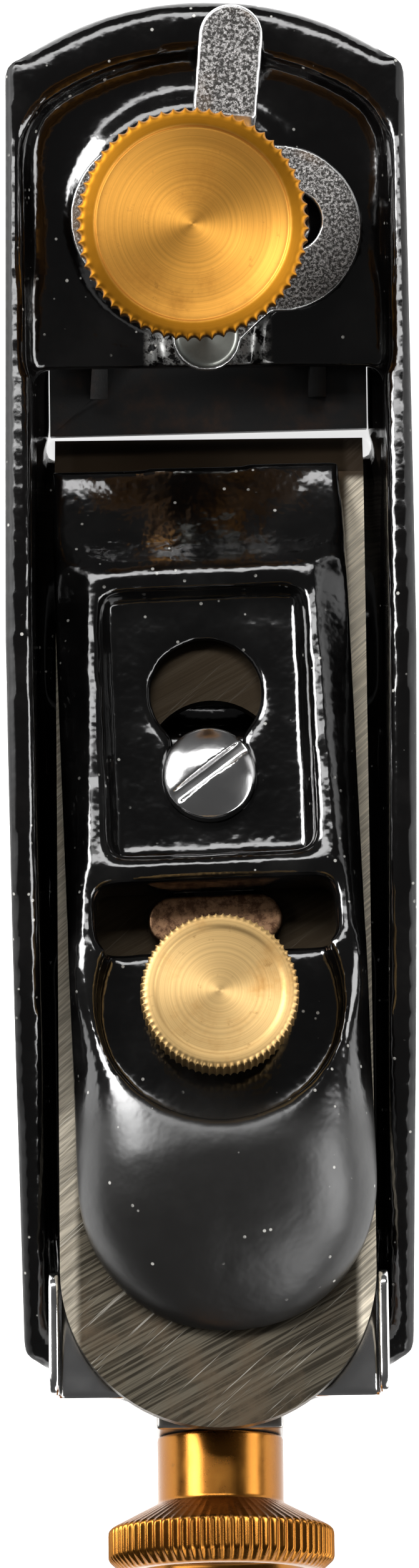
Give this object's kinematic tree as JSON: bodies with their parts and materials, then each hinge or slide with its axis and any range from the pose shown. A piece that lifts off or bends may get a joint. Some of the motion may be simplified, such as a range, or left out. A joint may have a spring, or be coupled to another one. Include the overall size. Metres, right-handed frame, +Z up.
{
  "type": "hand plane",
  "caption": "Low-angle block plane with black cast body, sliding toe and throat lever, bevel-up cutter, lever cap, brass finger knob and depth nut.",
  "frame": {"origin": "middle of the sole, halfway between its nose and its tail, on the sole's bottom face", "axes": "+Y towards the nose (the way the plane is pushed), +X to the user's right, +Z up, square to the sole"},
  "size_m": [0.0452, 0.1778, 0.0336],
  "materials": {
    "japanned_iron": "black japanning, high gloss, with a ground steel-grey sole",
    "japanned_cap": "black japanning, high gloss",
    "ground_toe": "ground underside, thinly painted black on top",
    "turned_brass": "turned brass with light tarnish",
    "plated_steel": "bright nickel plating, speckled with age",
    "blade_steel": "ground tool steel, slightly browned",
    "screw_steel": "polished and plated",
    "plain_steel": "machined mild steel"
  },
  "bodies": {
    "root": {"body_casting": "japanned_iron", "throat_lever_pivot": "plain_steel", "depth_stud": "plain_steel"},
    "sliding_toe": {"mouth_plate": "ground_toe"},
    "front_knob": {"finger_knob": "turned_brass", "finger_knob_stem": "plain_steel"},
    "throat_lever": {"throat_lever": "plated_steel"},
    "cap_screw": {"cap_screw": "screw_steel"},
    "lever_cap": {"lever_cap": "japanned_cap"},
    "clamp_pad": {"clamp_pad": "plain_steel"},
    "lock_knob": {"cap_lock_knob": "turned_brass", "cap_lock_screw": "plain_steel"},
    "feed_slide": {"adjusting_slide": "plated_steel", "lateral_pivot_rivet": "plain_steel"},
    "cutter": {"cutter": "blade_steel", "lateral_lever": "plated_steel", "feed_key": "plain_steel"},
    "depth_nut": {"depth_nut": "turned_brass"}
  },
  "joints": [
    {"name": "throat_lever_swing", "type": "hinge", "parent": "root", "child": "throat_lever", "pos_m": [-0.0001, 0.0416, 0.0105], "axis": [0, 0, 1], "range_deg": [-0.5, 21.5]},
    {"name": "mouth_slide", "type": "slide", "parent": "root", "child": "sliding_toe", "axis": [0, 1, 0], "range_m": [-0.00006, 0.00252]},
    {"name": "finger_knob_turn", "type": "hinge", "parent": "sliding_toe", "child": "front_knob", "pos_m": [-0.0015, 0.0527, 0.01], "axis": [0, 0, 1], "range_deg": [0, 270]},
    {"name": "cap_screw_turn", "type": "hinge", "parent": "root", "child": "cap_screw", "pos_m": [-0.00035, -0.00877, 0.00909], "axis": [0, 0.225, 0.9744], "range_deg": [0, 360]},
    {"name": "lever_cap_slide", "type": "slide", "parent": "root", "child": "lever_cap", "axis": [0.0319, -0.9739, 0.2248], "range_m": [0, 0.0098]},
    {"name": "clamp_pad_lift", "type": "slide", "parent": "lever_cap", "child": "clamp_pad", "axis": [0, 0.225, 0.9744], "range_m": [0, 0.0012]},
    {"name": "cap_lock_turn", "type": "hinge", "parent": "clamp_pad", "child": "lock_knob", "pos_m": [0.0005, -0.03252, 0.02483], "axis": [0, 0.225, 0.9744], "range_deg": [0, 432]},
    {"name": "cutter_feed", "type": "slide", "parent": "root", "child": "feed_slide", "axis": [0, -0.9744, 0.225], "range_m": [-0.00015, 0.003]},
    {"name": "lateral_swing", "type": "hinge", "parent": "feed_slide", "child": "cutter", "pos_m": [0, -0.01812, 0.01125], "axis": [0, 0.225, 0.9744], "range_deg": [-0.3, 0.3]},
    {"name": "depth_nut_turn", "type": "hinge", "parent": "feed_slide", "child": "depth_nut", "pos_m": [0, -0.08359, 0.01661], "axis": [0, -0.9744, 0.225], "range_deg": [-54, 1080]}
  ],
  "couplings": [
    {"joint": "throat_lever_swing", "follows": "mouth_slide", "rad_per_m": 149.08},
    {"joint": "cap_lock_turn", "follows": "clamp_pad_lift", "rad_per_m": 6283.2},
    {"joint": "depth_nut_turn", "follows": "cutter_feed", "rad_per_m": 6283.2}
  ]
}
